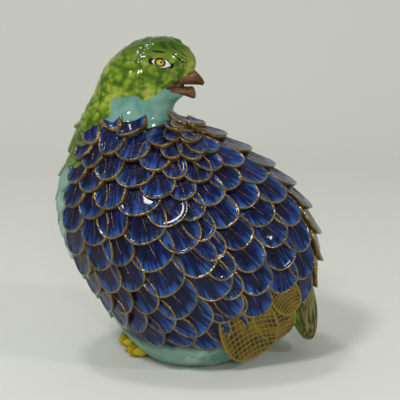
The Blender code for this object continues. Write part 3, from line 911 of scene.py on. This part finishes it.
olive, start, place, blots = open_glaze("olive_glaze")
x, y, z = place.parts()
quill_place = place.joined(x * 500.0, y * 500.0, z * 60.0)
quills = place.node("TexNoise", {}, {"Vector": quill_place, "Scale": 1.0, "Detail": 2.0})
green = blots.step(0.35, 0.65).mix(tint("5f8a12"), tint("82a828"))
dull = quills.step(0.42, 0.6).mix(tint("7c7838"), tint("3d3c18"))
front = (x + z * 0.30 + blots * 0.004).step(0.066, 0.070)
fire(start, front.mix(green, dull), 0.34, quills, 0.0004)
set_down("tail", lofted(TAIL_RINGS, tail_place, 192, 60), olive)

# Toes. Two blunt toes on each side under the breast, cast with the foot and glazed yellow, with the
# creases of the skin scored across them and shade painted darker into their grooves.

TOE_LENGTH = 0.0150
TOE_WIDTH = 0.0090
TOE_HEIGHT = 0.0090
TOE_CREASE = 0.0002
TOE_CREASE_RATE = 42
# Each toe: where its tip is, how far it lies to the side, its height, and how far it points outward.
TOES = ((-0.0400, 0.0035, 0.0075, 4), (-0.0350, 0.0105, 0.0040, 14))

yellow, start, place, blots = open_glaze("yellow_glaze")
crease = start.node("Attribute", {"attribute_name": "crease"}, output=2)
# Painted shade: darker brown in the grooves between the creases, lighter yellow on their ridges.
skin = (blots * 0.6 + crease * 0.4).step(0.3, 0.7).mix(tint("8f7c10"), tint("d6bd24"))
fire(start, skin, 0.32, crease, 0.0004)

toes = bmesh.new()
creased = toes.verts.layers.float.new("crease")
for tip_x, aside, height, yaw in TOES:
    turn = math.radians(yaw)
    toe = bmesh.ops.create_uvsphere(toes, u_segments=40, v_segments=28, radius=1.0)["verts"]
    for vert in toe:
        ridge = 0.5 + 0.5 * math.cos(TOE_CREASE_RATE * vert.co.x)
        vert[creased] = ridge
        girth = 1 + (ridge - 0.5) * 2 * TOE_CREASE / TOE_WIDTH
        x = 0.5 * TOE_LENGTH * (1 + vert.co.x)
        across = 0.5 * TOE_WIDTH * vert.co.y * girth
        vert.co = (
            tip_x + x * math.cos(turn) + across * math.sin(turn),
            -aside - across * math.cos(turn) + x * math.sin(turn),
            max(0.0002, height + 0.5 * TOE_HEIGHT * vert.co.z * girth),
        )
bmesh.ops.recalc_face_normals(toes, faces=toes.faces)
set_down("toes_right", mirrored(toes), yellow)
set_down("toes_left", toes, yellow)

# Room. A pale matt floor that curves up into a wall behind. The light is daylight from a window high
# on the left, with a low one in front, a weaker one on the right, a lamp overhead and a pale sky.

WALL_PAINT = tint("dcddd4")
FLOOR_REACH = 2.4
WALL_BEHIND = 0.90
WALL_CURVE = 0.32
WALL_CURVE_STEPS = 12
LAMPS = (
    ("window", (-0.45, -0.75, 1.05), 0.20, 6.5),
    ("low_window", (0.10, -1.15, 0.50), 0.07, 1.8),
    ("side_window", (0.90, -0.60, 0.70), 0.12, 2.5),
    ("ceiling", (-0.30, 0.05, 1.50), 0.20, 4.0),
)
SKY_STRENGTH = 0.43

room = bmesh.new()
floor_end = WALL_BEHIND - WALL_CURVE
profile = [(-FLOOR_REACH, 0.0)]
for k in range(WALL_CURVE_STEPS + 1):
    turn = math.radians(90 * k / WALL_CURVE_STEPS)
    profile.append((floor_end + WALL_CURVE * math.sin(turn), WALL_CURVE * (1 - math.cos(turn))))
profile.append((WALL_BEHIND, FLOOR_REACH))
points = [room.verts.new((-FLOOR_REACH, y, z)) for y, z in profile]
edges = [room.edges.new(pair) for pair in zip(points, points[1:])]
swept = bmesh.ops.extrude_edge_only(room, edges=edges)["geom"]
swept = [item for item in swept if isinstance(item, bmesh.types.BMVert)]
bmesh.ops.translate(room, vec=(2 * FLOOR_REACH, 0, 0), verts=swept)
bmesh.ops.recalc_face_normals(room, faces=room.faces)
room_mesh = bpy.data.meshes.new("room")
room.to_mesh(room_mesh)
room.free()
room_mesh.shade_smooth()
plaster = bpy.data.materials.new("wall_paint")
plaster.use_nodes = True
matt = plaster.node_tree.nodes["Principled BSDF"]
matt.inputs["Base Color"].default_value = WALL_PAINT
matt.inputs["Roughness"].default_value = 0.9
room_mesh.materials.append(plaster)
backdrop = bpy.data.objects.new("room", room_mesh)
bpy.context.scene.collection.objects.link(backdrop)

for name, place, size, watts in LAMPS:
    lamp = bpy.data.objects.new(name, bpy.data.lights.new(name, "AREA"))
    lamp.data.size = size
    lamp.data.energy = watts
    lamp.location = place
    lamp.rotation_euler = (LOOK_AT - Vector(place)).to_track_quat("-Z", "Y").to_euler()
    bpy.context.scene.collection.objects.link(lamp)

sky = bpy.data.worlds.new("sky")
sky.use_nodes = True
sky.node_tree.nodes["Background"].inputs["Color"].default_value = tint("e6e8ea")
sky.node_tree.nodes["Background"].inputs["Strength"].default_value = SKY_STRENGTH
bpy.context.scene.world = sky
bpy.context.scene.view_settings.view_transform = "Standard"
